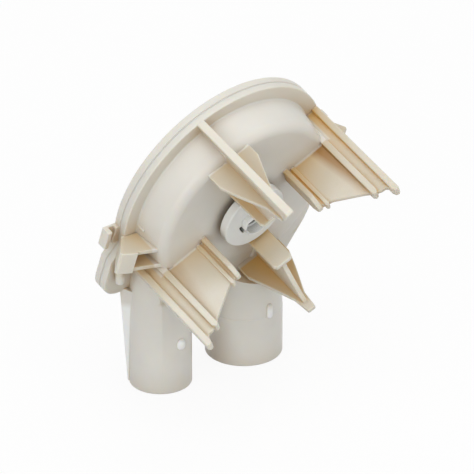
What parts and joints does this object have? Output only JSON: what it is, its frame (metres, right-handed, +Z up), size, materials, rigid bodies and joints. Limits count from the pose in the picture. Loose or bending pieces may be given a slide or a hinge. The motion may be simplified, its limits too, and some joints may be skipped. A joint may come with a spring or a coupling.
{
  "type": "washing machine drain pump",
  "caption": "Moulded plastic drain pump with a round volute housing, two hose ports, four motor brackets and a D-socket drive hub on its impeller.",
  "frame": {"origin": "on the pump axis, at the front face of the drive hub's disc", "axes": "+Z up with both hose ports pointing straight down, -Y towards the motor side, +X to the right seen from the motor side; the pump axis leans 20.45 degrees down from -Y towards -Z"},
  "size_m": [0.1084, 0.0903, 0.1307],
  "materials": {
    "ivory_plastic": "satin moulded, slightly translucent ivory",
    "ivory_plastic_cover": "satin moulded, slightly translucent ivory",
    "grey_plastic": "satin moulded light grey",
    "white_plastic": "satin moulded",
    "bronze": "sintered, oiled",
    "steel": "pressed sheet",
    "spring_steel": "bright wire",
    "rubber": "matt moulded",
    "washer_plastic": "turned, matt"
  },
  "bodies": {
    "body": {"pump_housing": "ivory_plastic", "rear_cover": "ivory_plastic_cover", "sleeve_bearing": "bronze", "seal_case": "steel", "seal_lip": "rubber", "garter_spring": "spring_steel", "front_thrust_washer": "washer_plastic", "rear_thrust_washer": "washer_plastic"},
    "rotor": {"drive_hub": "grey_plastic", "impeller": "white_plastic"}
  },
  "joints": [
    {"name": "pump_spin", "type": "hinge", "parent": "body", "child": "rotor", "pos_m": [0, 0, 0], "axis": [0, -0.937, -0.3494], "continuous": true}
  ]
}
